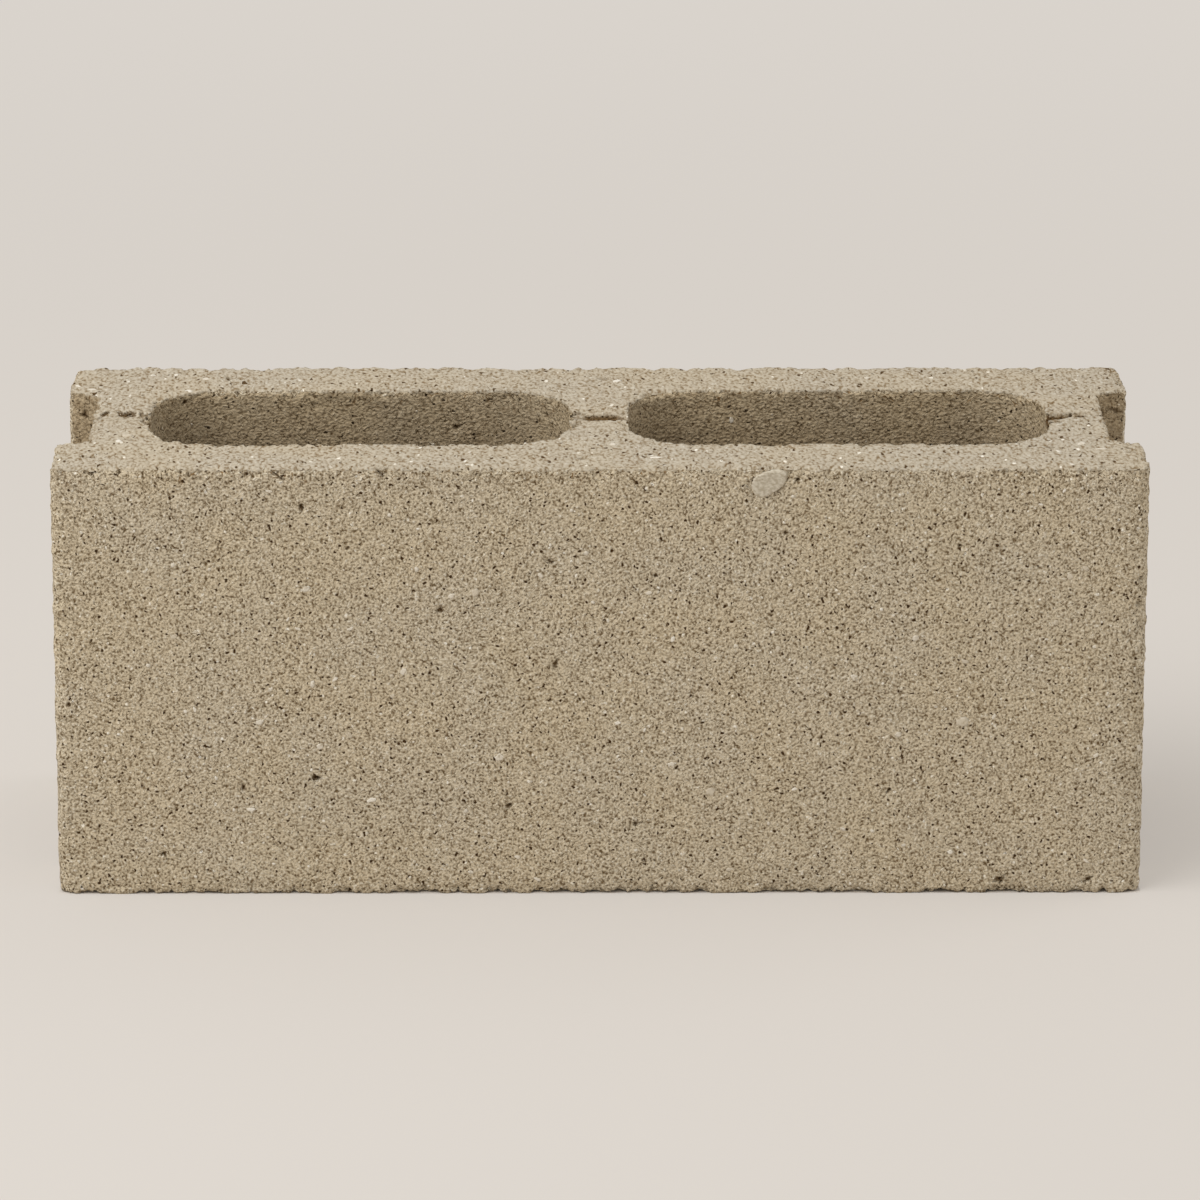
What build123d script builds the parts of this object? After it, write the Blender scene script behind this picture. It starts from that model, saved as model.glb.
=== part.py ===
from build123d import *
import os

# Hollow concrete block: two oblong cores run through it from bed to bed, a mortar groove runs
# down each end, and the bar that carried the mould cores has left a shallow channel across
# the tops of the three webs. It is moulded as one piece.
#
# The origin is at the middle of the bottom bed. X runs along the block, Y through the wall
# from the near face to the far face, and Z up. All lengths are in millimetres.

# Overall size
block_length = 490.0
block_thickness = 175.0
block_height = 200.0
corner_radius = 6.0

# Shells and webs, measured at the top bed
face_shell_thickness = 41.5
middle_web_thickness = 27.0
end_web_thickness = 26.5

# Cores: each wall leans in by the draft from the top bed down to the bottom bed
core_corner_radius = 32.0
core_wall_draft = 2.5

# Mortar groove down each end
end_groove_depth = 14.0
end_groove_mouth_width = 91.0
end_groove_flare = 7.0
end_groove_floor_radius = 6.0
ear_radius = 4.0

# Channel that the core bar leaves across the webs
bar_channel_width = 13.0
bar_channel_floor_width = 5.0
bar_channel_depth = 4.5

# Worn edges of the two beds
arris_radius = 3.0
core_rim_radius = 2.0

# How far every cut runs past the face that it opens
cut_overrun = 5.0

# A rounding takes no more than this share of the room that its wall or corner leaves it
rounding_limit_share = 0.9

# Sizes that follow from the ones above
core_width = block_thickness - 2 * face_shell_thickness
web_total = middle_web_thickness + 2 * end_web_thickness
core_length = (block_length - 2 * end_groove_depth - web_total) / 2
core_centre_x = (middle_web_thickness + core_length) / 2
core_radius_limit = rounding_limit_share * min(core_length, core_width) / 2
arris_radius_limit = rounding_limit_share * min(corner_radius, ear_radius)


def block_plan():
    """The plan of the block: a rectangle with a flared groove let into each end."""
    end_x = block_length / 2
    groove_x = end_x - end_groove_depth
    face_y = block_thickness / 2
    mouth_y = end_groove_mouth_width / 2
    floor_y = mouth_y - end_groove_flare
    half_end = [
        ((end_x, face_y), corner_radius),
        ((end_x, mouth_y), ear_radius),
        ((groove_x, floor_y), end_groove_floor_radius),
    ]
    right_end = half_end + [((x, -y), r) for (x, y), r in reversed(half_end)]
    left_end = [((-x, -y), r) for (x, y), r in right_end]
    corners = right_end + left_end
    outline = FilletPolyline(
        *[point for point, radius in corners],
        radius=[radius for point, radius in corners],
        close=True,
    )
    return make_face(outline)


def core(centre_x):
    """One tapered core, drawn upwards out of the mould, so it is narrower at the bottom."""

    def section(z):
        inset = core_wall_draft * (block_height - z) / block_height
        length = core_length - 2 * inset
        width = core_width - 2 * inset
        radius = min(core_corner_radius, core_radius_limit) - inset
        return Pos(centre_x, 0, z) * RectangleRounded(length, width, radius)

    return loft([section(-cut_overrun), section(block_height + cut_overrun)], ruled=True)


def bar_channel():
    """The channel along the middle of the top bed, wider at its mouth than on its floor."""
    top_z = block_height + cut_overrun
    mouth_y = bar_channel_width / 2
    floor_y = bar_channel_floor_width / 2
    floor_z = block_height - bar_channel_depth
    profile = make_face(
        Polyline(
            (0, mouth_y, top_z),
            (0, mouth_y, block_height),
            (0, floor_y, floor_z),
            (0, -floor_y, floor_z),
            (0, -mouth_y, block_height),
            (0, -mouth_y, top_z),
            close=True,
        )
    )
    return extrude(profile, amount=block_length / 2, dir=(1, 0, 0), both=True)


def bed_edges(block, outer):
    """The edges of the top and bottom beds: the outer outline, or else the rims of the cores."""
    beds = (block.faces().sort_by(Axis.Z)[0], block.faces().sort_by(Axis.Z)[-1])
    edges = []
    for bed in beds:
        wires = [bed.outer_wire()] if outer else bed.inner_wires()
        for wire in wires:
            edges.extend(wire.edges())
    return edges


def hollow_block():
    """The whole block, with its worn edges, as one solid."""
    block = extrude(block_plan(), amount=block_height)
    for side in (-1, 1):
        block -= core(side * core_centre_x)
    block = fillet(bed_edges(block, outer=True), radius=min(arris_radius, arris_radius_limit))
    block = fillet(bed_edges(block, outer=False), radius=core_rim_radius)
    block -= bar_channel()
    return block


os.makedirs("parts", exist_ok=True)
export_step(hollow_block(), "parts/hollow_block.step")
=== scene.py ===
"""A hollow concrete block, moulded in one piece, standing on a pale floor.

The block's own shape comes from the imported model. Here it gets its skin: the grain and pits of
pressed concrete, its crumbled arrises, the stones that lie bare in it and its colours.
The camera, the lamps, the floor and every finished mesh are in metres. The sizes of the skin, of
the stones and of their finishes are in millimetres, and a size times MM is in metres.
"""

import logging
import math
import random
from dataclasses import dataclass
from enum import Enum

import bmesh
import bpy
import numpy as np
from mathutils import Matrix, Vector, noise
from mathutils.bvhtree import BVHTree


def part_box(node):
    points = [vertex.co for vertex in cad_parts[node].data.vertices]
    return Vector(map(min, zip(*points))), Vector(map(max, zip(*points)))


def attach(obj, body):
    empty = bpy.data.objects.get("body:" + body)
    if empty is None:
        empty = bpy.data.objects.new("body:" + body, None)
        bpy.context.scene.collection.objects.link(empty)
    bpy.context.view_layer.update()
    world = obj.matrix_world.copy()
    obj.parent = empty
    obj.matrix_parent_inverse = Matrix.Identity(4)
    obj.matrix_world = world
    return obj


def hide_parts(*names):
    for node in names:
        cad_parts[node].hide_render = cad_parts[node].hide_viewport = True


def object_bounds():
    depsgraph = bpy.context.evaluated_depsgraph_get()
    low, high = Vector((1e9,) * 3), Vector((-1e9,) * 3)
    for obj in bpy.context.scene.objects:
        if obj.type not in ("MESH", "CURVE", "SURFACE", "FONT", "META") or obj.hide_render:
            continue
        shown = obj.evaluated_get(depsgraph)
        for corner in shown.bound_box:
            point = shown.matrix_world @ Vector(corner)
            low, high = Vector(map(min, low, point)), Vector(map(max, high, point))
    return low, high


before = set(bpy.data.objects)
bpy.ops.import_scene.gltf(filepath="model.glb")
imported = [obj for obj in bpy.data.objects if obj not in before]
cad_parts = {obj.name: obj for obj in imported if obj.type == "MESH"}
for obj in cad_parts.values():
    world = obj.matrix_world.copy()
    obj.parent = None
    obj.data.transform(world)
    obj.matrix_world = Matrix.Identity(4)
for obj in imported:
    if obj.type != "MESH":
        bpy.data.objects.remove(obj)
cad_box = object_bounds()

log = logging.getLogger("concrete_block")

Socket = bpy.types.NodeSocket
Colour = tuple[float, float, float]
Triple = tuple[float, float, float]
Pixel = tuple[float, float]
Span = tuple[float, float]

MM = 0.001
BLOCK_NODE = "hollow_block"
BLOCK_BODY = "root"

# The curve of a display's colours: their brightest value, a straight foot, and a power above it
FULL = 255
FOOT_END = 0.04045
FOOT_SLOPE = 12.92
CURVE_OFFSET = 0.055
CURVE_POWER = 2.4

# The middle of a share, half a turn in degrees, and a length that is as good as none
MIDDLE = 0.5
HALF_TURN = 180.0
TINY = 1e-9

# Where something scattered at random is seen, because it has no pixel of its own
NO_PIXEL = (0.0, 0.0)

# The end grooves, in millimetres: how far along the block they start, and half their width
GROOVE_START = 229.0
GROOVE_HALF_WIDTH = 45.5

# A surface whose normal rises by less than this counts as upright
UPRIGHT = 0.7


def linear(red: int, green: int, blue: int) -> Colour:
    """Turn a display colour into the linear colour that a shader takes.

    Args:
        red: Red from 0 to 255.
        green: Green from 0 to 255.
        blue: Blue from 0 to 255.

    Returns:
        The same colour as linear red, green and blue from 0 to 1.
    """

    def channel(value: int) -> float:
        """Turn one channel into a linear share.

        Args:
            value: The channel from 0 to 255.

        Returns:
            Its share from 0 to 1.
        """
        share = value / FULL
        if share <= FOOT_END:
            return share / FOOT_SLOPE
        return ((share + CURVE_OFFSET) / (1 + CURVE_OFFSET)) ** CURVE_POWER

    return channel(red), channel(green), channel(blue)


@dataclass(frozen=True)
class Viewpoint:
    """The place from which the block is seen, as fitted to its outline.

    A pixel is counted in a square picture, with x to the right and y down. The focal length is
    in pixels and the sensor's width in millimetres.
    """

    picture_width: float = 1200.0
    focal_length: float = 6627.0
    place: Triple = (-0.0217, -2.918, 1.006)
    yaw: float = math.radians(0.438)
    pitch: float = math.radians(17.03)
    roll: float = math.radians(0.076)
    sensor_width: float = 36.0
    far_limit: float = 100.0

    @property
    def position(self) -> Vector:
        """Return where the camera stands."""
        return Vector(self.place)

    @property
    def turn(self) -> Matrix:
        """Return the camera's rotation: yawed to the right, pitched down and rolled."""
        level = Matrix.Rotation(-self.yaw, 3, "Z") @ Matrix.Rotation(math.pi / 2 - self.pitch, 3, "X")
        return level @ Matrix.Rotation(self.roll, 3, "Z")

    def make_camera(self) -> bpy.types.Object:
        """Make the camera and hand it to the scene.

        Returns:
            The camera object.
        """
        data = bpy.data.cameras.new("camera")
        data.sensor_width = self.sensor_width
        data.lens = self.focal_length / self.picture_width * self.sensor_width
        data.clip_end = self.far_limit
        camera = bpy.data.objects.new("camera", data)
        camera.location = self.position
        camera.rotation_euler = self.turn.to_euler()
        bpy.context.scene.collection.objects.link(camera)
        bpy.context.scene.camera = camera
        return camera

    def ray(self, pixel: Pixel) -> Vector:
        """Return the direction in which a pixel looks.

        Args:
            pixel: The pixel's x and y.

        Returns:
            A direction of length one, away from the camera.
        """
        right = (pixel[0] - self.picture_width / 2) / self.focal_length
        up = (self.picture_width / 2 - pixel[1]) / self.focal_length
        return (self.turn @ Vector((right, up, -1))).normalized()


class Layer(Enum):
    """Shifts in millimetres that make the layers of noise differ from each other."""

    FILM = 2.0
    LUMPS = 3.0
    STREAKS = 4.0
    SAND = 5.0
    PATCHES = 7.0
    STAINS = 9.0
    GAPS = 11.0
    RAGGED_EDGE = 21.0
    RIDGES = 31.0
    GATE = 40.0
    FURROWS = 57.0
    CRACKS = 71.0


class Kind(Enum):
    """The kinds of value that a mix takes, each with the type of its sockets."""

    FLOAT = "VALUE"
    VECTOR = "VECTOR"
    RGBA = "RGBA"


class Finish:
    """A material in the making, with the helpers that wire its nodes.

    Its coordinates and its sizes are in millimetres.
    """

    def __init__(self, name: str) -> None:
        """Start a material that has only a principled shader and an output.

        Args:
            name: The material's name.
        """
        self.material = bpy.data.materials.new(name)
        self.material.use_nodes = True
        self.nodes = self.material.node_tree.nodes
        self.links = self.material.node_tree.links
        self.shader = self.nodes["Principled BSDF"]

    def add(self, kind: str, **settings: object) -> bpy.types.Node:
        """Add a node and set its own properties.

        Args:
            kind: The node's type.
            **settings: Properties of the node.

        Returns:
            The new node.
        """
        node = self.nodes.new(kind)
        for name, value in settings.items():
            setattr(node, name, value)
        return node

    def feed(self, socket: Socket, value: object) -> None:
        """Put a plain value on a socket, or link another socket to it.

        Args:
            socket: The socket that takes it.
            value: A number, a vector, a colour without its alpha, or another node's socket.
        """
        if isinstance(value, Socket):
            self.links.new(value, socket)
        elif socket.type == Kind.RGBA.value:
            socket.default_value = (*value, 1.0)
        else:
            socket.default_value = value

    def maths(self, operation: str, *values: object, kind: str = "ShaderNodeMath") -> Socket:
        """Work out one sum.

        Args:
            operation: The sum's name.
            *values: Up to three numbers, vectors or sockets.
            kind: The type of the node that does it, for numbers or for vectors.

        Returns:
            The result.
        """
        node = self.add(kind, operation=operation)
        for socket, value in zip(node.inputs, values):
            self.feed(socket, value)
        return node.outputs[0]

    def product(self, *values: object) -> Socket:
        """Return the product of two or more numbers or sockets.

        Args:
            *values: The numbers or sockets, multiplied from the left.

        Returns:
            The product.
        """
        result = values[0]
        for value in values[1:]:
            result = self.maths("MULTIPLY", result, value)
        return result

    def ramp(self, value: object, span: Span) -> Socket:
        """Turn a number into a share, with a smooth step between its ends.

        Args:
            value: The number or socket.
            span: Where the share is 0 and where it is 1.

        Returns:
            The share.
        """
        node = self.add("ShaderNodeMapRange", interpolation_type="SMOOTHSTEP")
        for name, number in (("Value", value), ("From Min", span[0]), ("From Max", span[1])):
            self.feed(node.inputs[name], number)
        return node.outputs["Result"]

    def scaled(self, vector: Socket, factor: float) -> Socket:
        """Return a vector times a number.

        Args:
            vector: The vector.
            factor: The number.

        Returns:
            The longer or shorter vector.
        """
        node = self.add("ShaderNodeVectorMath", operation="SCALE")
        self.feed(node.inputs[0], vector)
        self.feed(node.inputs["Scale"], factor)
        return node.outputs["Vector"]

    def here(self) -> Socket:
        """Return the object's own coordinates in metres."""
        return self.add("ShaderNodeTexCoord").outputs["Object"]

    def millimetres(self) -> Socket:
        """Return the object's own coordinates in millimetres."""
        return self.scaled(self.here(), 1 / MM)

    def apart(self, place: Socket) -> tuple[Socket, Socket, Socket]:
        """Take coordinates apart.

        Args:
            place: The coordinates.

        Returns:
            How far along and how far across the block a place is, both ways alike, and its height.
        """
        parts = self.add("ShaderNodeSeparateXYZ")
        self.feed(parts.inputs[0], place)
        along, across, height = parts.outputs
        return self.maths("ABSOLUTE", along), self.maths("ABSOLUTE", across), height

    def turned(self, place: Socket, turn: Triple, stretch: Triple) -> Socket:
        """Stretch coordinates and then turn them.

        Args:
            place: The coordinates.
            turn: Angles in radians.
            stretch: Factors along the three axes.

        Returns:
            The new coordinates.
        """
        node = self.add("ShaderNodeMapping")
        for name, value in (("Vector", place), ("Rotation", turn), ("Scale", stretch)):
            self.feed(node.inputs[name], value)
        return node.outputs["Vector"]

    def channel(self, colour: Socket) -> Socket:
        """Return the red channel of a colour."""
        return self.single("ShaderNodeSeparateColor", colour)

    def single(self, kind: str, value: Socket) -> Socket:
        """Return the first output of a node that is fed at its first input.

        Args:
            kind: The node's type.
            value: What it is fed.

        Returns:
            The output.
        """
        node = self.add(kind)
        self.feed(node.inputs[0], value)
        return node.outputs[0]

    def mixed(self, kind: Kind, factor: object, low: object, high: object, mode: str = "MIX") -> Socket:
        """Mix two values.

        Args:
            kind: What kind of value they are.
            factor: The share of the second one, from 0 to 1.
            low: The first one, a value or a socket.
            high: The second one.
            mode: The way in which two colours are mixed.

        Returns:
            The mix.
        """
        node = self.add("ShaderNodeMix", data_type=kind.name, blend_type=mode, clamp_factor=True)
        self.feed(node.inputs["Factor"], factor)
        for name, value in (("A", low), ("B", high)):
            self.feed(next(s for s in node.inputs if s.name == name and s.type == kind.value), value)
        return next(s for s in node.outputs if s.type == kind.value)

    def between(self, factor: object, low: object, high: object) -> Socket:
        """Return a mix of two numbers."""
        return self.mixed(Kind.FLOAT, factor, low, high)

    def blend(self, factor: object, low: object, high: object, mode: str = "MIX") -> Socket:
        """Return a mix of two colours."""
        return self.mixed(Kind.RGBA, factor, low, high, mode)

    def noted(self, name: str) -> Socket:
        """Return a number that the mesh notes for each vertex."""
        return self.add("ShaderNodeAttribute", attribute_name=name).outputs["Fac"]

    def noise(self, place: Socket, size: float, detail: float) -> bpy.types.Node:
        """Add soft noise.

        Args:
            place: The coordinates.
            size: The size of its clouds.
            detail: How many finer layers it has.

        Returns:
            The noise node.
        """
        node = self.add("ShaderNodeTexNoise")
        for name, value in (("Vector", place), ("Scale", 1 / size), ("Detail", detail)):
            self.feed(node.inputs[name], value)
        return node

    def clouds(self, place: Socket, size: float, layer: Layer, detail: float = 0.0) -> Socket:
        """Return soft noise from 0 to 1 about a half.

        Args:
            place: The coordinates.
            size: The size of its clouds.
            layer: The layer that it is.
            detail: How many finer layers it has.

        Returns:
            The noise.
        """
        shift = (layer.value,) * 3
        shifted = self.maths("ADD", place, shift, kind="ShaderNodeVectorMath")
        return self.noise(shifted, size, detail).outputs["Fac"]

    def contour(self, place: Socket, size: float, layer: Layer, width: Span) -> Socket:
        """Draw thin lines, the contours of soft noise at its middle level.

        Args:
            place: The coordinates.
            size: The size of the noise's clouds.
            layer: The layer that it is.
            width: How far from the middle level a line ends, and how far from it a line is full.

        Returns:
            1 on the lines and 0 beside them.
        """
        off = self.maths("SUBTRACT", self.clouds(place, size, layer), MIDDLE)
        return self.ramp(self.maths("ABSOLUTE", off), width)

    def warped(self, place: Socket, size: float, reach: float) -> Socket:
        """Push coordinates about.

        Args:
            place: The coordinates.
            size: The size of the noise that pushes them.
            reach: How far it pushes them at most.

        Returns:
            The new coordinates.
        """
        push = self.noise(place, size, 0.0).outputs["Color"]
        push = self.maths("SUBTRACT", push, (MIDDLE,) * 3, kind="ShaderNodeVectorMath")
        return self.maths("ADD", place, self.scaled(push, 2 * reach), kind="ShaderNodeVectorMath")

    def cells(self, place: Socket, size: float, feature: str) -> bpy.types.Node:
        """Add cells of uneven shape.

        Args:
            place: The coordinates.
            size: How far a cell is across.
            feature: What the node measures.

        Returns:
            The Voronoi node.
        """
        node = self.add("ShaderNodeTexVoronoi", feature=feature)
        self.feed(node.inputs["Vector"], place)
        self.feed(node.inputs["Scale"], 1 / size)
        return node

    def dressed(
        self, colour: Socket, roughness: float, height: Socket, strength: float, depth: float
    ) -> bpy.types.Material:
        """Give the shader its colour, its roughness and its relief.

        Args:
            colour: The colour.
            roughness: The shader's roughness.
            height: The relief.
            strength: How much of the relief shows, from 0 to 1.
            depth: How high a relief of 1 is.

        Returns:
            The finished material.
        """
        bump = self.add("ShaderNodeBump")
        for name, value in (("Strength", strength), ("Distance", depth * MM), ("Height", height)):
            self.feed(bump.inputs[name], value)
        normal = bump.outputs["Normal"]
        for name, value in (("Base Color", colour), ("Roughness", roughness), ("Normal", normal)):
            self.feed(self.shader.inputs[name], value)
        return self.material


@dataclass(frozen=True)
class Texture:
    """How one kind of face looks close to, with its relief in millimetres."""

    # pale lights the crowns of the relief, partly paler sand and partly painted highlight; crevice and
    # pit darken its low places and small holes as painted shade
    pale: Colour = linear(242, 234, 217)
    cement: Colour = linear(211, 197, 171)
    crevice: Colour = linear(112, 91, 61)
    pit: Colour = linear(70, 49, 25)
    speck: Colour = linear(244, 237, 222)
    stretch: Triple = (1.0, 1.0, 1.0)
    sand_share: float = 1.0
    gap_depth: float = 0.14
    wrinkle: float = 0.24
    pit_width: float = 0.2
    relief: float = 1.1
    lumps: float = 0.0


FACE = Texture()
BED = Texture(
    pale=linear(209, 201, 185),
    cement=linear(193, 182, 162),
    crevice=linear(132, 110, 79),
    pit=linear(88, 66, 38),
    stretch=(0.8, 0.4, 0.8),
    gap_depth=0.12,
    relief=0.55,
    lumps=0.6,
)
# The walls of the cores and grooves: darker and browner than the faces, partly their own colour and
# partly painted shade
CORE = Texture(
    pale=linear(213, 198, 171),
    cement=linear(191, 174, 145),
    crevice=linear(108, 89, 62),
    pit=linear(58, 44, 27),
    speck=linear(188, 172, 143),
    stretch=(0.75, 0.8, 0.95),
    sand_share=0.8,
    gap_depth=0.1,
    wrinkle=0.28,
    pit_width=0.15,
    relief=1.0,
    lumps=0.5,
)


@dataclass(frozen=True)
class Zones:
    """What kind of face a place belongs to, each as a share from 0 to 1.

    The kinds are the top bed, the walls of the cores and end grooves, the walls of the grooves
    alone, and the near and far faces, which are the rest. It also knows how far below the top
    bed a place is.
    """

    f: Finish
    topped: Socket
    walled: Socket
    grooved: Socket
    below: Socket

    def number(self, name: str) -> Socket:
        """Return one of the textures' numbers, mixed by the kind of face."""
        low = self.f.between(self.walled, getattr(FACE, name), getattr(CORE, name))
        return self.f.between(self.topped, low, getattr(BED, name))

    def colour(self, name: str) -> Socket:
        """Return one of the textures' colours, mixed by the kind of face."""
        low = self.f.blend(self.walled, getattr(FACE, name), getattr(CORE, name))
        return self.f.blend(self.topped, low, getattr(BED, name))

    def place(self, place: Socket, turn: Triple) -> Socket:
        """Turn coordinates, and stretch them in one of three ways, with no mix between them.

        Args:
            place: The coordinates.
            turn: Angles in radians.

        Returns:
            The new coordinates.
        """
        result = self.f.turned(place, turn, FACE.stretch)
        for share, texture in ((self.walled, CORE), (self.topped, BED)):
            chosen = self.f.maths("GREATER_THAN", share, MIDDLE)
            other = self.f.turned(place, turn, texture.stretch)
            result = self.f.mixed(Kind.VECTOR, chosen, result, other)
        return result


@dataclass(frozen=True)
class ConcreteFinish:
    """Pressed concrete: sand held in cement, with gaps and pits between the grains.

    The top bed is pale and close, and the walls of the cores and grooves are darker and browner: partly
    their own colour, partly painted shade.
    Sizes are in millimetres. A span says where a feature is nothing and where it is full, or
    else, for the ends of the cores, where it begins and ends.
    """

    # A dark brown multiplied in: dirt and painted shade in the hollows, painted shade on the groove
    # walls and deeper down the cores; and the slow change of tone over the faces
    dirt_and_shade: Colour = (0.27, 0.195, 0.115)
    hollow_dirt_and_shade: Span = (0.1, 1.05)
    groove_painted_shade: float = 0.2
    core_painted_shade: float = 0.24
    core_fade: Span = (2.0, 34.0)
    warm: Colour = (1.0, 0.985, 0.955)
    cool: Colour = (0.985, 0.99, 1.0)
    patch_size: float = 38.0
    patches: Span = (0.3, 0.7)
    # Where each kind of face is
    bed_edge: Span = (1.9, 0.7)
    ragged_size: float = 2.6
    ragged_reach: float = 0.8
    core_edge: Span = (0.6, 1.6)
    core_ends: Span = (12.0, 206.0)
    core_half_width: float = 47.0
    # Sand, grains and lumps
    turn: Triple = (0.6, 0.35, 0.8)
    bend_size: float = 1.8
    bend_reach: float = 0.6
    sand_size: float = 1.05
    grain_size: float = 1.5
    grain_crown: Span = (0.75, 0.1)
    grain_unevenness: float = 0.2
    grain_share: float = 0.2
    lump_size: float = 5.0
    pale_level: Span = (0.55, 0.95)
    crevice_level: Span = (0.58, 0.05)
    # Wrinkles: raised ridges, and furrows between them
    wrinkle_width: Span = (0.05, 0.0)
    ridge_size: float = 2.4
    ridge_gate: Span = (0.46, 0.6)
    furrow_size: float = 1.92
    furrow_gate: Span = (0.54, 0.4)
    gate_size: float = 2.1
    # Gaps and pits between the grains, and pale specks
    gap_size: float = 3.0
    gap_width: Span = (0.13, 0.0)
    gap_cloud: float = 1.9
    gap_gate: Span = (0.48, 0.64)
    pit_rank: Span = (0.25, 0.7)
    pit_edge: Span = (-0.01, 0.06)
    pit_raggedness: float = 0.35
    pit_depth: float = 0.3
    speck_rank: Span = (0.12, 0.1)
    speck_edge: Span = (0.24, 0.16)
    # Cracks below the top edges
    crack: Colour = (0.45, 0.34, 0.22)
    crack_zone: Span = (13.0, 3.0)
    crack_size: float = 4.5
    crack_width: Span = (0.028, 0.006)
    crack_gate: Span = (0.46, 0.56)
    crack_gaps: float = 0.35
    crack_depth: float = 0.15
    roughness: float = 0.92
    shine: float = 0.12

    def make(self) -> bpy.types.Material:
        """Make the material.

        Returns:
            The finished material.
        """
        f = Finish("pressed_concrete")
        place = f.millimetres()
        zones = self.zones(f, place)
        colour, height = self.close_to(f, zones, zones.place(place, self.turn))
        patches = f.clouds(place, self.patch_size, Layer.PATCHES, detail=1.0)
        tint = f.blend(f.ramp(patches, self.patches), self.warm, self.cool)
        colour = f.blend(1.0, colour, tint, "MULTIPLY")
        # Multiplied darkening: painted shade deeper down the core walls and on the groove walls, and
        # dirt and painted shade where the skin notes a hollow or the bar channel
        for share in (
            f.product(zones.walled, f.ramp(zones.below, self.core_fade), self.core_painted_shade),
            f.product(zones.grooved, self.groove_painted_shade),
            f.ramp(f.noted("hollow"), self.hollow_dirt_and_shade),
        ):
            colour = f.blend(share, colour, self.dirt_and_shade, "MULTIPLY")
        f.feed(f.shader.inputs["Specular IOR Level"], self.shine)
        return f.dressed(colour, self.roughness, height, strength=1.0, depth=1.0)

    def zones(self, f: Finish, place: Socket) -> Zones:
        """Tell the kinds of face apart by place.

        Args:
            f: The material in the making.
            place: The coordinates.

        Returns:
            The kinds of face.
        """
        along, across, height = f.apart(place)
        below = f.maths("SUBTRACT", frame_top(), height)
        ragged = f.clouds(place, self.ragged_size, Layer.RAGGED_EDGE)
        ragged = f.maths("MULTIPLY_ADD", ragged, 2 * self.ragged_reach, -self.ragged_reach)
        topped = f.ramp(f.maths("ADD", below, ragged), self.bed_edge)
        cored = f.product(
            f.maths("GREATER_THAN", along, self.core_ends[0]),
            f.maths("LESS_THAN", along, self.core_ends[1]),
            f.maths("LESS_THAN", across, self.core_half_width),
        )
        grooved = f.product(
            f.maths("GREATER_THAN", along, GROOVE_START),
            f.maths("LESS_THAN", across, GROOVE_HALF_WIDTH),
        )
        sunk = f.ramp(below, self.core_edge)
        walled = f.product(f.maths("ADD", grooved, cored), sunk)
        return Zones(f, topped, walled, f.product(grooved, sunk), below)

    def close_to(self, f: Finish, zones: Zones, place: Socket) -> tuple[Socket, Socket]:
        """Wire the sand, wrinkles, gaps, pits and cracks.

        Args:
            f: The material in the making.
            zones: The kinds of face.
            place: The coordinates, turned and stretched.

        Returns:
            Its colour and its height.
        """
        bent = f.warped(place, self.bend_size, self.bend_reach)
        gate = f.clouds(place, self.gate_size, Layer.GATE)
        level = self.grain_level(f, zones, place, bent)
        wrinkle = zones.number("wrinkle")
        for size, layer, opened, way in (
            (self.ridge_size, Layer.RIDGES, self.ridge_gate, 1.0),
            (self.furrow_size, Layer.FURROWS, self.furrow_gate, -1.0),
        ):
            line = f.contour(bent, size, layer, self.wrinkle_width)
            level = f.maths("MULTIPLY_ADD", f.product(line, wrinkle, f.ramp(gate, opened)), way, level)

        edge = f.cells(bent, self.gap_size, "DISTANCE_TO_EDGE").outputs["Distance"]
        opened = f.ramp(f.clouds(place, self.gap_cloud, Layer.GAPS), self.gap_gate)
        gap = f.product(f.ramp(edge, self.gap_width), opened)
        level = f.maths("SUBTRACT", level, f.product(gap, zones.number("gap_depth")))

        cells = f.cells(bent, self.gap_size, "F1")
        rank = f.channel(cells.outputs["Color"])
        reach = f.product(f.ramp(rank, self.pit_rank), zones.number("pit_width"))
        inside = f.maths("SUBTRACT", reach, cells.outputs["Distance"])
        lower = f.maths("SUBTRACT", MIDDLE, level)
        pit = f.ramp(f.maths("MULTIPLY_ADD", lower, self.pit_raggedness, inside), self.pit_edge)
        speck = f.ramp(cells.outputs["Distance"], self.speck_edge)
        speck = f.product(f.ramp(rank, self.speck_rank), speck)

        cracks = f.contour(bent, self.crack_size, Layer.CRACKS, self.crack_width)
        cracks = f.product(cracks, f.ramp(gate, self.crack_gate))
        cracks = f.maths("MAXIMUM", cracks, f.product(gap, self.crack_gaps))
        beside = f.maths("SUBTRACT", 1.0, zones.topped)
        cracks = f.product(cracks, f.ramp(zones.below, self.crack_zone), beside)

        # Paler on the crowns of the relief, partly pale sand and partly painted highlight; darker in
        # its low places and pits, as painted shade
        colour = f.blend(f.ramp(level, self.pale_level), zones.colour("cement"), zones.colour("pale"))
        colour = f.blend(f.ramp(level, self.crevice_level), colour, zones.colour("crevice"))
        colour = f.blend(speck, colour, zones.colour("speck"))
        colour = f.blend(cracks, colour, self.crack, "MULTIPLY")
        colour = f.blend(pit, colour, zones.colour("pit"))

        height = f.product(level, zones.number("relief"))
        height = f.maths("MULTIPLY_ADD", pit, -self.pit_depth, height)
        height = f.maths("MULTIPLY_ADD", cracks, -self.crack_depth, height)
        lumps = f.product(f.clouds(place, self.lump_size, Layer.LUMPS), zones.number("lumps"))
        return colour, f.maths("ADD", lumps, height)

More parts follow.
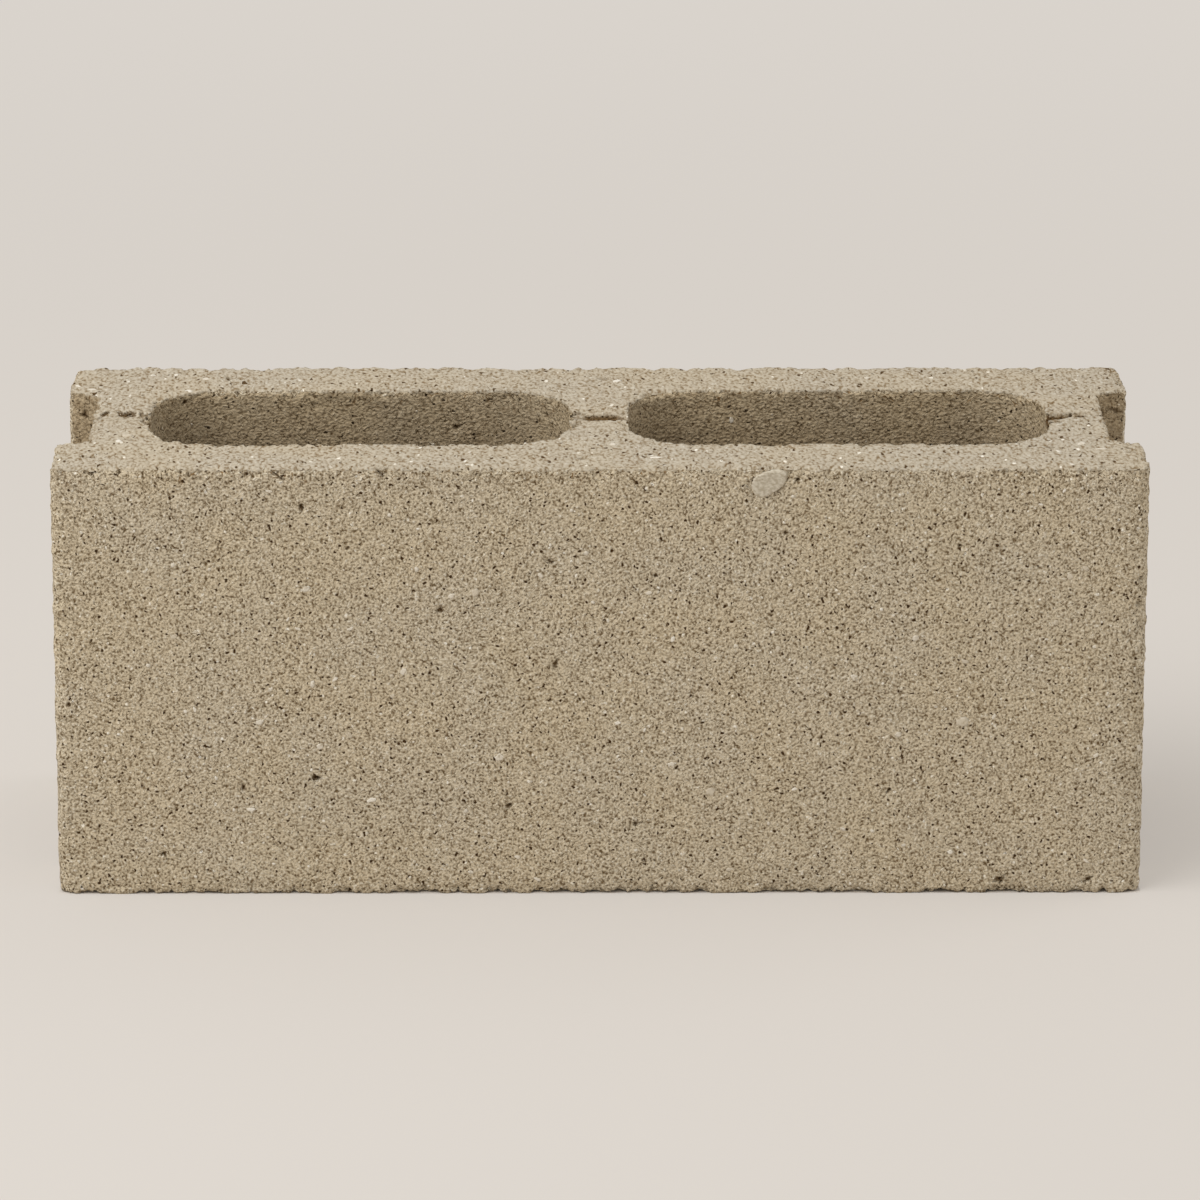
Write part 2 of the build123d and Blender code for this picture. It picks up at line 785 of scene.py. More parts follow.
    def grain_level(self, f: Finish, zones: Zones, place: Socket, bent: Socket) -> Socket:
        """Wire the sand, and the crowns of the grains in it.

        Args:
            f: The material in the making.
            zones: The kinds of face.
            place: The coordinates.
            bent: The coordinates pushed about.

        Returns:
            How high a place is, from 0 to 1.
        """
        sand = f.clouds(place, self.sand_size, Layer.SAND)
        sand = f.between(zones.number("sand_share"), MIDDLE, sand)
        grains = f.cells(bent, self.grain_size, "F1")
        crown = f.ramp(grains.outputs["Distance"], self.grain_crown)
        uneven = f.maths("SUBTRACT", f.channel(grains.outputs["Color"]), MIDDLE)
        crown = f.maths("MULTIPLY_ADD", uneven, self.grain_unevenness, crown)
        return f.between(self.grain_share, sand, crown)


@dataclass(frozen=True)
class GrainFinish:
    """Bare grains of quartz and limestone, from the concrete's own colour to white.

    Sizes are in millimetres.
    """

    dull: Colour = linear(200, 187, 164)
    white: Colour = linear(238, 231, 217)
    film: Colour = linear(172, 156, 128)
    film_size: float = 1.6
    film_share: Span = (0.5, 0.8)
    roughness: float = 0.7
    relief: float = 0.6
    relief_depth: float = 0.25

    def make(self) -> bpy.types.Material:
        """Make the material.

        Returns:
            The finished material.
        """
        f = Finish("bare_grain")
        cloudy = f.clouds(f.millimetres(), self.film_size, Layer.FILM, detail=2.0)
        colour = f.blend(f.noted("tone"), self.dull, self.white)
        colour = f.blend(f.ramp(cloudy, self.film_share), colour, self.film)
        return f.dressed(colour, self.roughness, cloudy, self.relief, self.relief_depth)


@dataclass(frozen=True)
class PebbleFinish:
    """A water-worn pebble: grey and smooth, finely mottled, with a few cement stains.

    Sizes are in millimetres.
    """

    stone: Colour = linear(207, 198, 179)
    streak: Colour = linear(176, 164, 142)
    streak_size: float = 1.3
    streaks: Span = (0.35, 0.65)
    stain: Colour = linear(158, 142, 114)
    stain_size: float = 1.0
    stains: Span = (0.62, 0.74)
    turn: Triple = (0.0, 0.4, 0.0)
    stretch: Triple = (0.8, 1.0, 1.2)
    roughness: float = 0.75
    relief: float = 0.5
    relief_depth: float = 0.2

    def make(self) -> bpy.types.Material:
        """Make the material.

        Returns:
            The finished material.
        """
        f = Finish("worn_pebble")
        place = f.turned(f.millimetres(), self.turn, self.stretch)
        streaks = f.clouds(place, self.streak_size, Layer.STREAKS, detail=3.0)
        stains = f.clouds(place, self.stain_size, Layer.STAINS, detail=2.0)
        colour = f.blend(f.ramp(streaks, self.streaks), self.stone, self.streak)
        colour = f.blend(f.ramp(stains, self.stains), colour, self.stain)
        return f.dressed(colour, self.roughness, stains, self.relief, self.relief_depth)


@dataclass(frozen=True)
class Hollow:
    """A pit, chip or crack, placed by the pixel where it is seen, with its size in millimetres.

    The turn is in degrees, up from level, as the hollow is seen on its own surface. The shade is how
    dark it is painted, from 0 to 1, as dirt and painted shade, and the taper is how much narrower one
    end is.
    """

    pixel: Pixel
    length: float
    width: float
    depth: float
    turn: float = 0.0
    shade: float = 1.0
    taper: float = 0.0


@dataclass(frozen=True)
class Crumbling:
    """A stretch of arris that has lost more than the rest, with its reach in millimetres."""

    pixel: Pixel
    reach: float
    strength: float


# A hollow's place on the block, the way out of the surface there, and the hollow
Placed = tuple[np.ndarray, Vector, Hollow]

HOLLOWS = (
    # The near face
    Hollow((315.5, 778.5), 4.6, 2.6, 2.6),
    Hollow((555.0, 664.5), 3.8, 3.0, 2.0, 30),
    Hollow((440.0, 611.0), 3.6, 2.6, 1.8, 10),
    Hollow((508.5, 806.0), 3.6, 2.2, 2.0, 35),
    Hollow((243.0, 789.0), 2.4, 2.8, 1.6),
    Hollow((301.5, 508.0), 2.2, 5.0, 1.8, -8),
    Hollow((348.0, 548.5), 2.6, 2.2, 1.6),
    Hollow((550.0, 562.0), 3.2, 2.0, 1.8, -30),
    Hollow((635.0, 824.0), 2.6, 2.0, 1.8),
    Hollow((656.0, 575.5), 2.6, 2.0, 1.6),
    Hollow((786.0, 533.0), 2.8, 2.0, 1.6),
    Hollow((889.0, 790.0), 1.8, 3.0, 1.8, -12),
    Hollow((1000.0, 880.5), 4.0, 3.2, 2.2, -40),
    Hollow((1087.0, 880.0), 3.4, 2.4, 1.8, 40),
    Hollow((960.0, 546.0), 2.6, 2.0, 1.6),
    Hollow((797.5, 481.0), 2.0, 3.2, 1.6, -30),
    Hollow((163.0, 854.0), 4.4, 1.8, 1.8, 25),
    Hollow((69.0, 706.0), 2.6, 2.4, 1.6),
    Hollow((86.0, 469.0), 2.6, 1.4, 1.4, 20, 0.5),
    Hollow((119.0, 470.0), 1.8, 2.6, 1.4, 10, 0.5),
    Hollow((188.0, 474.0), 1.2, 3.0, 1.4, 0, 0.6),
    Hollow((243.0, 471.0), 1.2, 3.6, 1.4, 0, 0.6),
    Hollow((276.0, 475.0), 8.4, 1.0, 1.4, -38, 0.6),
    Hollow((380.0, 474.0), 4.4, 1.0, 1.4, -45, 0.6),
    Hollow((1061.0, 468.5), 2.6, 1.4, 1.4, -40, 0.5),
    Hollow((1104.0, 466.5), 2.6, 1.4, 1.4, -20, 0.5),
    # The socket of the pebble
    Hollow((770.5, 483.5), 21.5, 13.6, 1.1, 26, 0.55, 0.2),
    # The top bed and the middle of its webs
    Hollow((228.0, 377.0), 2.4, 9.0, 1.8, 10),
    Hollow((602.0, 378.0), 5.0, 4.0, 1.6, -30),
    Hollow((1085.0, 376.3), 5.0, 3.0, 1.8, -30),
    Hollow((105.0, 413.5), 3.2, 9.0, 1.8, -20, 1.0),
    Hollow((120.5, 413.0), 3.0, 6.5, 2.0, 20, 1.0),
    Hollow((126.5, 415.0), 5.0, 6.0, 1.8, -10, 1.0),
    Hollow((133.0, 413.5), 3.4, 7.0, 1.5, 10, 0.8),
    Hollow((142.0, 415.0), 3.0, 8.0, 1.4, 10, 0.7),
    Hollow((147.5, 421.0), 5.0, 16.0, 1.8, 12, 0.6),
    Hollow((581.0, 411.5), 2.0, 4.5, 1.6, 20, 0.6),
    Hollow((574.0, 414.5), 2.0, 4.0, 1.6, 20, 0.8),
    Hollow((575.0, 424.0), 4.6, 15.0, 2.0, -24, 0.4),
    Hollow((625.5, 424.0), 3.6, 9.0, 2.0, 20, 0.4),
    Hollow((1048.0, 424.0), 4.4, 15.0, 2.0, -16, 0.4),
    Hollow((126.0, 438.5), 9.0, 2.6, 1.6, 8),
    Hollow((88.0, 456.5), 7.0, 3.0, 1.6, -12),
    Hollow((1061.0, 429.3), 3.6, 3.2, 1.8),
    Hollow((1052.0, 446.0), 4.0, 3.4, 1.6, 30),
    Hollow((1127.5, 447.0), 3.2, 3.2, 1.6),
    Hollow((1132.0, 451.5), 6.0, 2.6, 1.8, -8),
    Hollow((581.0, 457.5), 5.6, 3.6, 1.6, -10),
    # The far walls of the cores and the flanks of the far ears
    Hollow((546.0, 415.5), 2.4, 2.6, 1.8),
    Hollow((456.0, 427.5), 2.8, 2.4, 1.8),
    Hollow((186.0, 402.0), 2.4, 2.0, 1.6),
    Hollow((313.0, 404.0), 2.4, 2.4, 1.6),
    Hollow((1108.5, 400.0), 14.0, 9.0, 0.8, 0, 0.3),
    Hollow((1109.5, 409.3), 8.0, 1.4, 1.2, -10, 0.5),
    Hollow((1117.0, 411.5), 3.4, 4.6, 1.4, 0, 0.6),
    Hollow((1102.3, 411.0), 3.4, 2.0, 1.4, 0, 0.8),
    Hollow((1070.5, 415.5), 1.6, 4.0, 2.0),
    Hollow((84.0, 416.5), 3.4, 1.4, 1.6, -20),
)

CRUMBLINGS = (
    Crumbling((82.0, 374.0), 13.0, 2.5),
    Crumbling((1117.0, 374.0), 13.0, 2.5),
    Crumbling((100.0, 466.0), 16.0, 2.0),
    Crumbling((155.0, 468.0), 12.0, 1.6),
    Crumbling((240.0, 392.0), 22.0, 2.2),
    Crumbling((290.0, 392.0), 12.0, 2.0),
    Crumbling((660.0, 392.0), 14.0, 2.4),
    Crumbling((1003.0, 885.0), 8.0, 2.5),
    Crumbling((1136.0, 884.0), 9.0, 1.0),
    Crumbling((66.0, 884.0), 8.0, 0.6),
)


@dataclass(frozen=True)
class ChannelFill:
    """How far fallen concrete has filled the bar channel, by the place along the block.

    A stop is a place along X, a share from 0, open, to 1, level, and the place along Y up to
    which the near side is level. Lengths are in millimetres.
    """

    half_width: float = 7.5
    depth: float = 5.5
    short_of_level: float = 0.35
    bank_slope: float = 1.2
    plain_depth: float = 0.3
    dark_depth: float = 2.2
    darkest: float = 1.0
    mottle: float = 1.1
    mottle_size: float = 2.2
    stops: tuple[Triple, ...] = (
        (-232.0, 0.95, -7.0),
        (-203.0, 0.9, -7.0),
        (-14.0, 0.9, -7.0),
        (-8.0, 0.85, -7.0),
        (-5.5, 0.6, -7.0),
        (-3.5, 0.1, -7.0),
        (4.0, 0.0, -7.0),
        (7.5, 0.1, -7.0),
        (9.0, 0.7, -7.0),
        (14.0, 0.9, -7.0),
        (206.0, 0.2, -5.5),
        (209.0, 0.2, -4.5),
        (213.0, 0.2, -1.0),
        (216.0, 0.2, 1.2),
        (220.0, 0.2, -0.2),
        (223.0, 0.5, 3.5),
        (232.0, 0.6, 2.4),
    )

    def lift(self, points: np.ndarray, top: float) -> np.ndarray:
        """Return how far each point of the skin rises.

        Args:
            points: Rows of x, y and z in millimetres.
            top: The height of the top bed.

        Returns:
            One height for each row.
        """
        places, shares, banks = zip(*self.stops)
        share = np.interp(points[:, 0], places, shares)
        bank = np.interp(points[:, 0], places, banks)
        share = np.maximum(share, np.clip((bank - points[:, 1]) / self.bank_slope, 0, 1))
        inside = (np.abs(points[:, 1]) < self.half_width) & (points[:, 2] > top - self.depth)
        room = np.maximum(top - self.short_of_level - points[:, 2], 0.0)
        return np.where(inside, share * room, 0.0)

    def dirt_and_shade(self, points: np.ndarray, top: float) -> np.ndarray:
        """Return how dark each point of the skin is painted, from 0 to 1, deeper in the channel: dirt
        and painted shade.

        Args:
            points: Rows of x, y and z in millimetres.
            top: The height of the top bed.

        Returns:
            One share for each row.
        """
        below = top - points[:, 2]
        inside = (np.abs(points[:, 1]) < self.half_width) & (below < self.depth)
        for index in np.flatnonzero(inside):
            below[index] += self.mottle * noise.noise(Vector(points[index]) / self.mottle_size)
        share = np.clip((below - self.plain_depth) / (self.dark_depth - self.plain_depth), 0, 1)
        return np.where(inside, self.darkest * share, 0.0)


class BlockSurface:
    """A surface of the block on which a pixel of the picture can be found."""

    def __init__(self, block: bpy.types.Object, view: Viewpoint) -> None:
        """Get ready to look at a block from the picture's viewpoint."""
        self.tree = BVHTree.FromObject(block, bpy.context.evaluated_depsgraph_get())
        self.view = view

    def seen(self, pixel: Pixel) -> tuple[Vector, Vector]:
        """Return the point that a pixel shows and the way out of the surface there.

        Args:
            pixel: The pixel's x and y.

        Returns:
            The point in metres, and the surface's normal.
        """
        point, normal, _, _ = self.tree.ray_cast(self.view.position, self.view.ray(pixel))
        if point is None:
            raise ValueError(f"the block isn't seen at pixel {pixel}")
        return point, normal


def facing(normal: Vector, turn: float = 0.0) -> Matrix:
    """Return a turn that lays a shape's x and y along a surface and its z out of it.

    Args:
        normal: The way out of the surface.
        turn: Degrees from level, anticlockwise as seen from outside.

    Returns:
        The rotation as a 4 by 4 matrix.
    """
    up = Vector((0, 0, 1)) if abs(normal.z) < UPRIGHT else Vector((0, 1, 0))
    across = up.cross(normal).normalized()
    frame_of_face = Matrix((across, normal.cross(across), normal)).transposed().to_4x4()
    return frame_of_face @ Matrix.Rotation(math.radians(turn), 4, "Z")


@dataclass(frozen=True)
class EdgePits:
    """The small pits along the worn edges, with sizes in millimetres."""

    count: int = 520
    seed: int = 5
    least_pull: float = 0.3
    least_length: float = 1.3
    more_length: float = 2.0
    width_share: Span = (0.45, 0.9)
    depth_share: float = 0.65
    shade: Span = (0.15, 0.55)

    def choose(self, points: np.ndarray, normals: np.ndarray, edges: np.ndarray) -> list[Placed]:
        """Choose places and sizes for the pits.

        Args:
            points: Rows of x, y and z in millimetres.
            normals: The way out of the surface at each point.
            edges: Which of the points lie on a worn edge that is seen.

        Returns:
            Places, directions and sizes.
        """
        chance = np.random.default_rng(self.seed)
        pits = []
        for index in chance.choice(np.flatnonzero(edges), self.count, replace=False):
            length = self.least_length + self.more_length * chance.random() ** 2
            width = length * chance.uniform(*self.width_share)
            turn = chance.uniform(0, HALF_TURN)
            shade = chance.uniform(*self.shade)
            hollow = Hollow(NO_PIXEL, length, width, self.depth_share * width, turn, shade)
            pits.append((points[index].copy(), Vector(normals[index]).normalized(), hollow))
        return pits


@dataclass
class BlockSkin:
    """The block's visible skin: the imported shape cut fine, then worn, pitted and roughened.

    Its sizes are in millimetres, and so is its mesh until it is finished. The pull at a point is
    how far smoothing would draw it in, which is nothing except at edges.
    """

    # The fine copy, and how crisp its edges are made before they wear
    weld: float = 0.001
    voxel: float = 1.2
    arris_radius: float = 3.0
    foot_crispness: float = 0.8
    bed_crispness: float = 0.5
    least_flat: float = 0.7
    # The wear of the edges: each size of chip has a weight
    edge_passes: int = 24
    edge_factor: float = 0.5
    edge_pull: float = 0.06
    chips: tuple[tuple[float, float], ...] = ((19.0, 3.4), (6.2, 3.6), (2.8, 2.0))
    spared: float = 0.2
    most_chipped: float = 6.0
    deepest_wear: float = 4.0
    # The relief of the faces, and the grit and knobs of the edges
    relief: float = 0.2
    relief_size: float = 9.0
    relief_swing: float = 0.8
    lumps: float = 0.18
    lump_size: float = 3.4
    grit: float = 0.75
    grit_size: float = 2.8
    grit_pull: float = 0.03
    lowest_grit: float = -0.4
    knobs: float = 1.0
    knob_size: float = 6.0
    knob_shift: float = 0.1
    knob_start: float = 66.0
    # Where the skin is seen closely
    near_face: float = -83.0
    top_zone: float = 6.0
    seen_depth: float = 34.0
    # How many triangles are aimed at, and how readily each zone gives up its points
    triangles: int = 160000
    thin_rest: float = 0.74
    thin_upper: float = 0.55
    thin_seen: float = 0.42
    kept_pull: float = 0.1
    # How the hollows are cut
    hollow_margin: float = 1.6
    hollow_cuts: int = 2
    hollow_reach: float = 5.0
    farthest: float = 1.7
    rim: float = 1.15
    rim_width: float = 0.7
    narrowest: float = 0.2
    raggedness: float = 0.5
    ragged_size: float = 1.1
    fill: ChannelFill = ChannelFill()
    pits: EdgePits = EdgePits()

    def build(self, finish: bpy.types.Material, packed: BlockSurface) -> bpy.types.Object:
        """Build the skin and dress it.

        Args:
            finish: The concrete material.
            packed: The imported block's surface, on which the hollows find their places.

        Returns:
            The block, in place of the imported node.
        """
        block = self.fine_copy()
        self.square_up(block)
        pits = self.wear_down(block, packed)
        self.thin_out(block)
        placed = []
        for hollow in HOLLOWS:
            point, normal = packed.seen(hollow.pixel)
            placed.append((np.array(point) / MM, normal, hollow))
        self.open_up(block, placed)
        self.carve(block, placed + pits)
        block.data.transform(Matrix.Scale(MM, 4))
        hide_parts(BLOCK_NODE)
        return dressed_piece(block, finish)

    def fine_copy(self) -> bpy.types.Object:
        """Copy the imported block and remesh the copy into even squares.

        Returns:
            The copy, in millimetres.
        """
        bm = bmesh.new()
        bm.from_mesh(bpy.data.objects[BLOCK_NODE].data)
        bmesh.ops.remove_doubles(bm, verts=bm.verts, dist=self.weld * MM)
        bmesh.ops.scale(bm, vec=(1 / MM, 1 / MM, 1 / MM), verts=bm.verts)
        block = new_piece(bm, "block_body")
        remesh = block.modifiers.new("remesh", "REMESH")
        remesh.mode = "VOXEL"
        remesh.voxel_size = self.voxel
        settle(block)
        return block

    def square_up(self, block: bpy.types.Object) -> None:
        """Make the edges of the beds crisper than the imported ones, the foot most of all.

        Args:
            block: The fine copy, which is changed.
        """
        points = points_of(block.data)
        normals = normals_of(block.data)
        flat = np.maximum(np.abs(normals[:, 2]), np.hypot(normals[:, 0], normals[:, 1]))
        gap = self.arris_radius * (1 / np.maximum(flat, self.least_flat) - 1)
        top = points[:, 2] > frame_top() - self.arris_radius
        foot = points[:, 2] < self.arris_radius
        share = np.where(foot, self.foot_crispness, np.where(top, self.bed_crispness, 0.0))
        write_points(block.data, points + normals * (gap * share)[:, None])

    def pull_at(self, block: bpy.types.Object) -> np.ndarray:
        """Find out which way smoothing draws each point.

        Args:
            block: The fine copy, which is left as it is.

        Returns:
            Rows of x, y and z.
        """
        sharp = points_of(block.data)
        smooth = block.modifiers.new("smooth", "SMOOTH")
        smooth.iterations = self.edge_passes
        smooth.factor = self.edge_factor
        worn = points_of(evaluated_mesh(block))
        block.modifiers.clear()
        return worn - sharp

    def wear_down(self, block: bpy.types.Object, packed: BlockSurface) -> list[Placed]:
        """Crumble the arrises and rims, roughen the skin and fill the channel.

        Args:
            block: The fine copy, which is changed.
            packed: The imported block's surface, on which the crumblings find their places.

        Returns:
            Places, directions and sizes for the small pits of the worn edges.
        """
        points = points_of(block.data)
        normals = normals_of(block.data)
        pull = self.pull_at(block)
        pull[(pull * normals).sum(axis=1) > 0] = 0.0
        size = np.linalg.norm(pull, axis=1)
        step = pull * self.crumbling(points, size > self.edge_pull, packed)[:, None]
        length = np.linalg.norm(step, axis=1)
        kept = self.deepest_wear * np.tanh(length / self.deepest_wear) / np.maximum(length, TINY)
        moved = points + step * kept[:, None] - normals * self.roughness(points, size)[:, None]
        moved[:, 2] += self.fill.lift(moved, frame_top())
        write_points(block.data, moved)
        note_values(block.data, "edge", size)
        return self.pits.choose(moved, normals, (size > self.pits.least_pull) & self.in_view(moved))

    def crumbling(self, points: np.ndarray, edges: np.ndarray, packed: BlockSurface) -> np.ndarray:
        """Work out how much each point gives way.

        Args:
            points: Rows of x, y and z in millimetres.
            edges: Which of the points lie near an edge.
            packed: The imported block's surface, on which the crumblings find their places.

        Returns:
            One factor of its pull for each row.
        """
        share = np.zeros(len(points))
        for index in np.flatnonzero(edges):
            place = Vector(points[index])
            share[index] = sum(weight * noise.noise(place / size) for size, weight in self.chips)
            share[index] -= self.spared
        share = np.clip(share, 0.0, self.most_chipped)
        for worn in CRUMBLINGS:
            centre = np.array(packed.seen(worn.pixel)[0]) / MM
            near = np.clip(1 - np.linalg.norm(points - centre, axis=1) / worn.reach, 0, 1)
            share += worn.strength * near * (2 - near) * edges
        return share

    def roughness(self, points: np.ndarray, pull: np.ndarray) -> np.ndarray:
        """Work out the relief: slow all over, lumpy where it is seen, and gritty at the edges.

        Args:
            points: Rows of x, y and z in millimetres.
            pull: The length of each point's pull.

        Returns:
            How far each point sinks.
        """
        depth = np.array([noise.noise(Vector(point) / self.relief_size) for point in points])
        depth = self.relief * (1 + self.relief_swing * depth)
        for index in np.flatnonzero(self.in_view(points)):
            depth[index] += self.lumps * noise.noise(Vector(points[index]) / self.lump_size)
        for index in np.flatnonzero(pull > self.grit_pull):
            place = Vector(points[index])
            depth[index] += self.grit * max(self.lowest_grit, noise.noise(place / self.grit_size))
            if abs(place.y) > self.knob_start:
                depth[index] += self.knobs * (noise.noise(place / self.knob_size) + self.knob_shift)
        return depth

    def in_view(self, points: np.ndarray) -> np.ndarray:
        """Return which points lie on the near face or on the top bed."""
        return (points[:, 1] < self.near_face) | (points[:, 2] > frame_top() - self.top_zone)

    def thin_out(self, block: bpy.types.Object) -> None:
        """Merge points where nobody looks closely, and leave the worn edges as fine as they are.

        Args:
            block: The worn block, which is changed.
        """
        points = points_of(block.data)
        weight = np.full(len(points), self.thin_rest)
        weight[points[:, 2] > frame_top() - self.seen_depth] = self.thin_upper
        seen = self.in_view(points)
        weight[seen] = self.thin_seen
        weight[seen & (values_of(block.data, "edge") > self.kept_pull)] = 0.0
        group = block.vertex_groups.new(name="thin_out")
        for value in np.unique(weight):
            group.add(np.flatnonzero(weight == value).tolist(), float(value), "REPLACE")
        thin = block.modifiers.new("thin", "DECIMATE")
        thin.vertex_group = group.name
        thin.vertex_group_factor = 1.0
        thin.ratio = self.triangles / (2 * len(block.data.polygons))
        settle(block)

    def open_up(self, block: bpy.types.Object, placed: list[Placed]) -> None:
        """Cut the skin finer where a hollow with a place of its own goes.

        Args:
            block: The thinned block, which is changed.
            placed: The hollows and their places.
        """
        points = points_of(block.data)
        chosen = np.zeros(len(points), bool)
        for centre, _, hollow in placed:
            reach = max(hollow.length, hollow.width) / 2 + self.hollow_margin
            chosen |= np.linalg.norm(points - centre, axis=1) < reach
        bm = bmesh.new()
        bm.from_mesh(block.data)
        edges = [edge for edge in bm.edges if all(chosen[vert.index] for vert in edge.verts)]
        bmesh.ops.subdivide_edges(bm, edges=edges, cuts=self.hollow_cuts, use_grid_fill=True)
        bmesh.ops.triangulate(bm, faces=bm.faces)
        bm.to_mesh(block.data)
        bm.free()

    def carve(self, block: bpy.types.Object, hollows: list[Placed]) -> None:
        """Push in each hollow, and note how dark each point is painted: dirt and painted shade.

        Args:
            block: The block, which is changed.
            hollows: The hollows and their places.
        """
        points = points_of(block.data)
        darkness = self.fill.dirt_and_shade(points, frame_top())
        for centre, normal, hollow in hollows:
            turn = np.array(facing(normal, hollow.turn).to_3x3())
            local = (points - centre) @ turn
            along = local[:, 0] / (hollow.length / 2)
            narrowing = np.maximum(1 - hollow.taper * along, self.narrowest)
            out = np.hypot(along, local[:, 1] / (hollow.width / 2) / narrowing)
            near = (out < self.farthest) & (np.abs(local[:, 2]) < self.hollow_reach)
            for index in np.flatnonzero(near):
                wobble = self.raggedness * noise.noise(Vector(points[index]) / self.ragged_size)
                share = soft_step((self.rim - out[index] + wobble) / self.rim_width)
                points[index] -= share * hollow.depth * np.array(normal)
                # Each hollow is painted dark by its shade: dirt and painted shade together
                darkness[index] = max(darkness[index], share * hollow.shade)
        write_points(block.data, points)
        note_values(block.data, "hollow", darkness)


class Tone(Enum):
    """How pale a bare grain is, from 0, like the concrete, to 1, white."""

    DULL = 0.15
    CREAM = 0.55
    WHITE = 0.95


@dataclass(frozen=True)
class Grain:
    """A bare grain, placed by the pixel where it is seen, with its size in millimetres."""

    pixel: Pixel
    length: float
    width: float
    turn: float = 0.0
    tone: Tone = Tone.CREAM


def seen_grains(tone: Tone, *rows: tuple[float, ...]) -> list[Grain]:
    """Return grains of one tone, each from a row of its pixel's x and y, length, width and turn."""
    return [Grain((x, y), length, width, turn, tone) for x, y, length, width, turn in rows]


GRAINS = (
    *seen_grains(
        Tone.WHITE,
        (134.0, 531.5, 1.9, 1.5, 20), (288.0, 619.0, 1.2, 3.0, -30), (418.0, 529.0, 2.0, 1.4, 0),
        (502.5, 553.5, 1.6, 1.6, 0), (550.0, 545.0, 1.2, 1.8, 0), (593.0, 602.5, 2.4, 1.8, -10),
        (658.5, 588.0, 1.8, 1.4, -30), (671.0, 591.0, 1.8, 1.4, -20), (881.5, 609.5, 2.0, 1.6, -20),
        (1041.0, 504.5, 2.8, 1.1, -5), (1122.5, 530.0, 1.6, 1.6, 0), (1129.5, 535.0, 1.3, 1.3, 0),
        (185.5, 711.5, 2.2, 2.0, 0), (311.5, 770.0, 1.8, 1.6, 0), (108.0, 733.5, 1.4, 1.6, 0),
        (118.5, 734.5, 1.6, 1.3, -20), (105.0, 761.5, 1.8, 1.3, 0), (251.5, 809.5, 4.0, 1.8, 0),
        (371.5, 800.0, 4.4, 2.0, 15), (529.5, 781.5, 2.6, 1.5, -10), (617.5, 723.0, 3.0, 1.8, 10),
        (644.5, 730.0, 1.3, 2.2, -20), (735.5, 726.5, 2.0, 1.6, 0), (794.5, 789.0, 2.8, 1.5, 20),
        (842.5, 829.0, 2.4, 2.0, -20), (903.5, 845.0, 2.2, 1.4, 10), (950.0, 852.0, 2.6, 2.2, -20),
        (757.0, 884.5, 2.4, 1.1, 30), (78.0, 386.0, 3.6, 1.8, -40), (153.0, 375.5, 2.6, 3.0, 0),
        (188.5, 391.0, 3.4, 3.0, 0), (616.5, 381.0, 3.6, 5.0, -30), (655.0, 457.5, 5.6, 2.4, 0),
        (1058.0, 451.0, 2.4, 5.0, 20), (118.5, 441.0, 2.6, 5.0, 0),
    ),
    *seen_grains(
        Tone.CREAM,
        (173.0, 565.5, 2.2, 2.8, 0), (269.0, 491.5, 3.0, 1.4, -10), (306.0, 589.0, 4.2, 2.6, 30),
        (298.0, 629.0, 3.0, 1.4, -25), (350.0, 629.0, 3.2, 1.5, 25), (416.5, 569.5, 2.2, 3.0, 10),
        (389.5, 515.0, 2.0, 2.0, 0), (451.5, 596.0, 3.2, 2.4, 20), (571.5, 510.5, 1.8, 2.2, 0),
        (148.0, 665.5, 2.4, 2.4, 30), (649.0, 593.0, 3.0, 1.6, 15), (647.5, 560.5, 1.6, 1.8, 0),
        (915.5, 638.0, 3.6, 2.6, 30), (854.0, 677.5, 4.6, 2.6, -40), (793.0, 496.5, 2.2, 2.0, 30),
        (259.5, 722.5, 3.8, 2.6, 20), (266.5, 716.0, 3.6, 1.0, 50), (283.5, 711.0, 2.0, 1.6, -30),
        (270.0, 689.5, 3.4, 1.8, 35), (312.5, 684.5, 2.2, 4.2, -8), (320.0, 746.5, 3.4, 2.4, 30),
        (234.0, 810.0, 1.8, 2.4, -15), (150.0, 840.5, 3.2, 1.5, -15), (499.0, 757.5, 4.0, 3.8, 30),
        (508.5, 782.5, 1.6, 1.6, 0), (465.5, 811.0, 2.4, 2.2, 0), (483.0, 838.0, 2.2, 1.8, 0),
        (517.5, 857.0, 3.0, 1.8, -20), (471.0, 872.0, 2.6, 1.6, -20), (537.5, 879.5, 3.2, 1.4, -25),
        (671.0, 764.5, 3.0, 2.4, 0), (898.0, 734.5, 3.2, 2.4, 20), (768.5, 823.5, 1.8, 2.4, -25),
        (872.0, 831.0, 2.2, 2.0, -40), (1086.0, 861.0, 3.6, 1.3, -35), (1138.5, 748.5, 2.6, 4.2, 0),
        (92.0, 389.5, 5.0, 3.4, 0), (206.0, 379.0, 3.2, 4.0, 0), (613.0, 444.5, 3.0, 4.0, 0),
        (1081.5, 443.5, 3.6, 5.4, -30), (1101.5, 448.8, 5.0, 2.4, 0),
    ),
    *seen_grains(
        Tone.DULL,
        (475.0, 592.5, 3.0, 4.4, 0), (174.5, 636.5, 3.2, 2.2, 25), (656.0, 499.5, 3.4, 2.2, 0),
        (794.5, 562.5, 2.6, 2.2, 0), (845.0, 619.5, 1.8, 2.6, -20), (965.0, 661.5, 3.8, 2.0, -25),
        (1086.0, 568.5, 3.8, 2.0, -35), (1070.0, 577.0, 2.6, 3.4, 0), (1056.0, 622.5, 2.6, 2.4, 0),
        (392.5, 696.0, 2.8, 1.8, 0), (550.0, 762.5, 3.4, 3.0, -10), (496.0, 815.0, 1.8, 2.2, 0),
        (963.0, 722.0, 6.0, 4.6, 0), (710.5, 792.0, 4.2, 4.0, 0), (729.0, 869.5, 3.0, 1.6, 0),
        (127.5, 435.5, 5.0, 5.0, 0),
    ),
)


